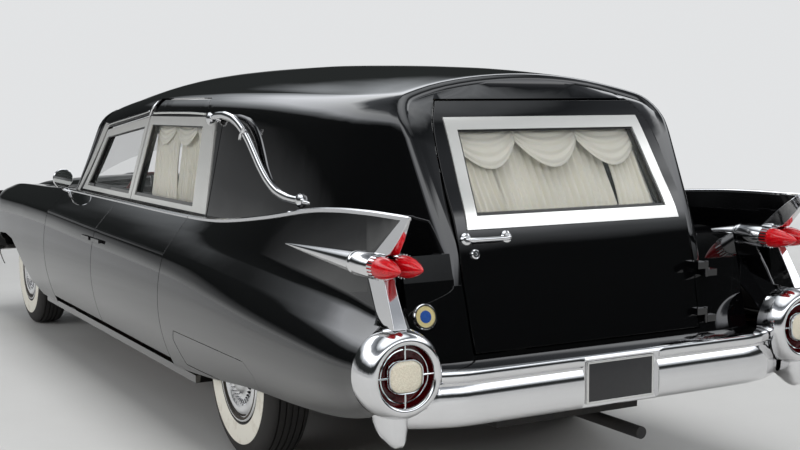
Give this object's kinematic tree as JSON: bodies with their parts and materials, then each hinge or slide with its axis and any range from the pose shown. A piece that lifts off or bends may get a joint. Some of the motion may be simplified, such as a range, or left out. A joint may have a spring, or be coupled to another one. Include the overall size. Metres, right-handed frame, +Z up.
{
  "type": "landau hearse",
  "caption": "Long low finned landau coach with side doors, a rear loading door over a flat deck, and four road wheels.",
  "frame": {"origin": "on the ground under the middle of the overall box", "axes": "+X forward, +Y to the car's left, +Z up"},
  "size_m": [6.3712, 2.0902, 1.7158],
  "materials": {
    "body_paint": "gloss black enamel",
    "chrome": "bright plate",
    "clear_glass": "clear",
    "lamp_glass": "fluted, pale",
    "red_lens": "clear red",
    "blank_plate": "satin",
    "drape_cloth": "pleated",
    "seat_hide": "satin",
    "trim_paint": "semi gloss",
    "carpet": "cut pile",
    "deck_plate": "satin",
    "chassis_paint": "matt, dusty",
    "iron": "painted casting",
    "core": "black core",
    "wheel_paint": "bright full cover",
    "tyre": "whitewall"
  },
  "bodies": {
    "car_body": {"coach_shell": "body_paint", "front_fenders": "body_paint", "quarters": "body_paint", "cowl": "body_paint", "nose_panel": "body_paint", "tail_surround": "body_paint", "sills_and_posts": "body_paint", "grille": "chrome", "front_bumper": "chrome", "rear_bumper": "chrome", "rear_nacelles": "chrome", "tail_pods": "chrome", "landau_bars": "chrome", "windscreen": "clear_glass", "headlamps": "lamp_glass", "backup_lamps": "lamp_glass", "tail_lenses": "red_lens", "number_plate": "blank_plate", "front_seat": "seat_hide", "seat_base": "trim_paint", "dashboard": "trim_paint", "steering_wheel": "trim_paint", "cab_floor": "carpet", "load_deck": "deck_plate", "chassis_frame": "chassis_paint", "rear_axle": "chassis_paint", "driveshaft": "chassis_paint", "fuel_tank": "chassis_paint", "wheelhouses": "chassis_paint", "exhaust": "chassis_paint", "engine_block": "iron", "radiator": "core"},
    "bonnet_lid": {"bonnet": "body_paint"},
    "loading_door": {"tail_door": "body_paint", "tail_glass": "clear_glass", "tail_door_handle": "chrome", "tail_drapes": "drape_cloth"},
    "left_knuckle": {"knuckle_left": "chassis_paint"},
    "right_knuckle": {"knuckle_right": "chassis_paint"},
    "front_left_door_leaf": {"front_left_door": "body_paint", "front_left_glass": "clear_glass", "door_mirror": "chrome"},
    "front_left_road_wheel": {"front_left_wheel": "wheel_paint", "front_left_tyre": "tyre"},
    "front_right_door_leaf": {"front_right_door": "body_paint", "front_right_glass": "clear_glass"},
    "front_right_road_wheel": {"front_right_wheel": "wheel_paint", "front_right_tyre": "tyre"},
    "rear_left_door_leaf": {"rear_left_door": "body_paint", "rear_left_glass": "clear_glass", "side_drape_left": "drape_cloth"},
    "rear_left_road_wheel": {"rear_left_wheel": "wheel_paint", "rear_left_tyre": "tyre"},
    "rear_right_door_leaf": {"rear_right_door": "body_paint", "rear_right_glass": "clear_glass", "side_drape_right": "drape_cloth"},
    "rear_right_road_wheel": {"rear_right_wheel": "wheel_paint", "rear_right_tyre": "tyre"}
  },
  "joints": [
    {"name": "front_left_door_hinge", "type": "hinge", "parent": "car_body", "child": "front_left_door_leaf", "pos_m": [1.178, 1.036, 0.7], "axis": [0, 0, -1], "range_deg": [0, 65]},
    {"name": "front_left_wheel_spin", "type": "hinge", "parent": "left_knuckle", "child": "front_left_road_wheel", "pos_m": [2.287, 0.79, 0.37], "axis": [0, 1, 0], "continuous": true},
    {"name": "front_right_door_hinge", "type": "hinge", "parent": "car_body", "child": "front_right_door_leaf", "pos_m": [1.178, -1.036, 0.7], "axis": [0, 0, 1], "range_deg": [0, 65]},
    {"name": "front_right_wheel_spin", "type": "hinge", "parent": "right_knuckle", "child": "front_right_road_wheel", "pos_m": [2.287, -0.79, 0.37], "axis": [0, 1, 0], "continuous": true},
    {"name": "rear_left_door_hinge", "type": "hinge", "parent": "car_body", "child": "rear_left_door_leaf", "pos_m": [-1.058, 1.036, 0.7], "axis": [0, 0, 1], "range_deg": [0, 65]},
    {"name": "rear_left_wheel_spin", "type": "hinge", "parent": "car_body", "child": "rear_left_road_wheel", "pos_m": [-1.675, 0.79, 0.37], "axis": [0, 1, 0], "continuous": true},
    {"name": "rear_right_door_hinge", "type": "hinge", "parent": "car_body", "child": "rear_right_door_leaf", "pos_m": [-1.058, -1.036, 0.7], "axis": [0, 0, -1], "range_deg": [0, 65]},
    {"name": "rear_right_wheel_spin", "type": "hinge", "parent": "car_body", "child": "rear_right_road_wheel", "pos_m": [-1.675, -0.79, 0.37], "axis": [0, 1, 0], "continuous": true},
    {"name": "left_steering", "type": "hinge", "parent": "car_body", "child": "left_knuckle", "pos_m": [2.287, 0.69, 0.37], "axis": [0, 0, 1], "range_deg": [-28, 28]},
    {"name": "right_steering", "type": "hinge", "parent": "car_body", "child": "right_knuckle", "pos_m": [2.287, -0.69, 0.37], "axis": [0, 0, 1], "range_deg": [-28, 28]},
    {"name": "loading_door_hinge", "type": "hinge", "parent": "car_body", "child": "loading_door", "pos_m": [-3.004, -0.54, 0.9], "axis": [0, 0, 1], "range_deg": [0, 100]},
    {"name": "bonnet_hinge", "type": "hinge", "parent": "car_body", "child": "bonnet_lid", "pos_m": [1.776, 0, 1.036], "axis": [0, -1, 0], "range_deg": [0, 50]}
  ],
  "couplings": [
    {"joint": "right_steering", "follows": "left_steering", "ratio": 1}
  ]
}
